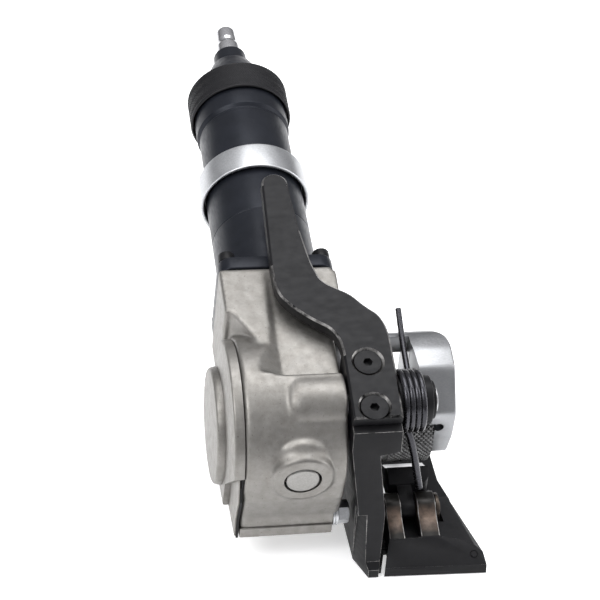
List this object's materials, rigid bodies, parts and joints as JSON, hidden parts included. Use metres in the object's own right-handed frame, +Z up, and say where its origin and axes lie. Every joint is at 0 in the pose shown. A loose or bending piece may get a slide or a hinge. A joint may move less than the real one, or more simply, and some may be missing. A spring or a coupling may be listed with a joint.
{
  "type": "pneumatic strap tensioner",
  "caption": "Hand-held air-driven strap tensioner: tilted motor handle, worm gearbox, knurled feed wheel, squeeze lever and sprung rocking base.",
  "frame": {"origin": "a point on the sole of the base, straight under the feed shaft", "axes": "+X towards the open side where the strap goes in, +Y to the rear along the handle, +Z up from the sole"},
  "size_m": [0.1268, 0.3188, 0.1384],
  "materials": {
    "cast_aluminium": "bead-blasted casting, satin",
    "brushed_aluminium": "brushed",
    "zinc_plate": "bright zinc plate",
    "bright_steel": "polished",
    "machined_steel": "machined",
    "worn_steel": "hardened, worn",
    "black_anodised": "black anodised, satin",
    "black_oxide": "black oxide, satin",
    "gasket_rubber": "matte",
    "vane_composite": "matte"
  },
  "bodies": {
    "base": {"base_frame": "black_oxide", "foot_plate": "worn_steel", "foot_screw_1": "black_oxide", "foot_screw_2": "black_oxide", "lever": "black_oxide", "lever_screw_1": "black_oxide", "lever_screw_2": "black_oxide", "pivot_pin": "machined_steel", "pivot_clip": "black_oxide", "spring_sleeve": "black_oxide", "torsion_spring": "black_oxide", "gripper_pin": "machined_steel", "gripper_ring": "machined_steel"},
    "dog": {"gripper_dog": "worn_steel"},
    "rocker": {"gear_casing": "cast_aluminium", "side_cover": "cast_aluminium", "cover_gasket": "gasket_rubber", "motor_flange": "black_anodised", "flange_screw_1": "black_oxide", "flange_screw_2": "black_oxide", "flange_screw_3": "black_oxide", "flange_screw_4": "black_oxide", "worm_plug": "zinc_plate", "stop_bolt": "zinc_plate", "stop_washer": "zinc_plate", "front_tube": "black_anodised", "rear_tube": "black_anodised", "inlet_cap": "black_oxide", "air_nipple": "bright_steel", "front_end_plate": "machined_steel", "rear_end_plate": "machined_steel", "cylinder_liner": "machined_steel", "rotor_bearing_front": "bright_steel", "rotor_bearing_rear": "bright_steel", "ring_gear": "machined_steel", "worm_bearing_front": "bright_steel", "worm_bearing_rear": "bright_steel", "shaft_bearing_left": "bright_steel", "shaft_bearing_middle": "bright_steel", "shaft_bearing_outboard": "bright_steel", "bearing_bracket": "brushed_aluminium", "bracket_screw_1": "black_oxide", "bracket_screw_2": "black_oxide"},
    "worm_drive": {"worm_shaft": "machined_steel", "planet_carrier": "machined_steel"},
    "feed_drive": {"feed_shaft": "machined_steel", "worm_wheel": "worn_steel", "shaft_spacer": "machined_steel", "feed_wheel": "worn_steel"},
    "rotor_drive": {"rotor": "machined_steel", "rotor_vane_1": "vane_composite", "rotor_vane_2": "vane_composite", "rotor_vane_3": "vane_composite", "rotor_vane_4": "vane_composite"},
    "planet_1": {"planet_gear_1": "machined_steel"},
    "planet_2": {"planet_gear_2": "machined_steel"},
    "planet_3": {"planet_gear_3": "machined_steel"},
    "start_ring": {"start_ring_sleeve": "zinc_plate"},
    "regulator": {"regulator_ring": "black_oxide"}
  },
  "joints": [
    {"name": "grip_squeeze", "type": "hinge", "parent": "base", "child": "rocker", "pos_m": [-0.035, -0.034, 0.0815], "axis": [1, 0, 0], "range_deg": [0, 4.5], "stiffness_Nm_per_rad": 12, "springref_deg": -20.05, "deforming": ["torsion_spring"]},
    {"name": "dog_swing", "type": "hinge", "parent": "base", "child": "dog", "pos_m": [-0.035, -0.034, 0.0145], "axis": [1, 0, 0], "range_deg": [-3, 4], "stiffness_Nm_per_rad": 0.3},
    {"name": "worm_spin", "type": "hinge", "parent": "rocker", "child": "worm_drive", "pos_m": [-0.035, -0.00541, 0.06943], "axis": [0, 0.9781, 0.2079], "continuous": true},
    {"name": "feed_spin", "type": "hinge", "parent": "rocker", "child": "feed_drive", "pos_m": [-0.035, 0, 0.044], "axis": [1, 0, 0], "continuous": true},
    {"name": "rotor_spin", "type": "hinge", "parent": "rocker", "child": "rotor_drive", "pos_m": [-0.035, -0.00541, 0.06943], "axis": [0, 0.9781, 0.2079], "continuous": true},
    {"name": "planet_1_spin", "type": "hinge", "parent": "worm_drive", "child": "planet_1", "pos_m": [-0.023, 0.06424, 0.08424], "axis": [0, 0.9781, 0.2079], "continuous": true},
    {"name": "planet_2_spin", "type": "hinge", "parent": "worm_drive", "child": "planet_2", "pos_m": [-0.041, 0.0664, 0.07407], "axis": [0, 0.9781, 0.2079], "continuous": true},
    {"name": "planet_3_spin", "type": "hinge", "parent": "worm_drive", "child": "planet_3", "pos_m": [-0.041, 0.06208, 0.0944], "axis": [0, 0.9781, 0.2079], "continuous": true},
    {"name": "start_ring_slide", "type": "slide", "parent": "rocker", "child": "start_ring", "axis": [0, -0.9781, -0.2079], "range_m": [0, 0.005], "stiffness_N_per_m": 400, "springref_m": -0.004},
    {"name": "regulator_turn", "type": "hinge", "parent": "rocker", "child": "regulator", "pos_m": [-0.035, -0.00541, 0.06943], "axis": [0, 0.9781, 0.2079], "range_deg": [-60, 60]}
  ],
  "couplings": [
    {"joint": "feed_spin", "follows": "worm_spin", "ratio": 0.052632},
    {"joint": "rotor_spin", "follows": "worm_spin", "ratio": 4},
    {"joint": "planet_1_spin", "follows": "worm_spin", "ratio": -3},
    {"joint": "planet_2_spin", "follows": "worm_spin", "ratio": -3},
    {"joint": "planet_3_spin", "follows": "worm_spin", "ratio": -3}
  ]
}
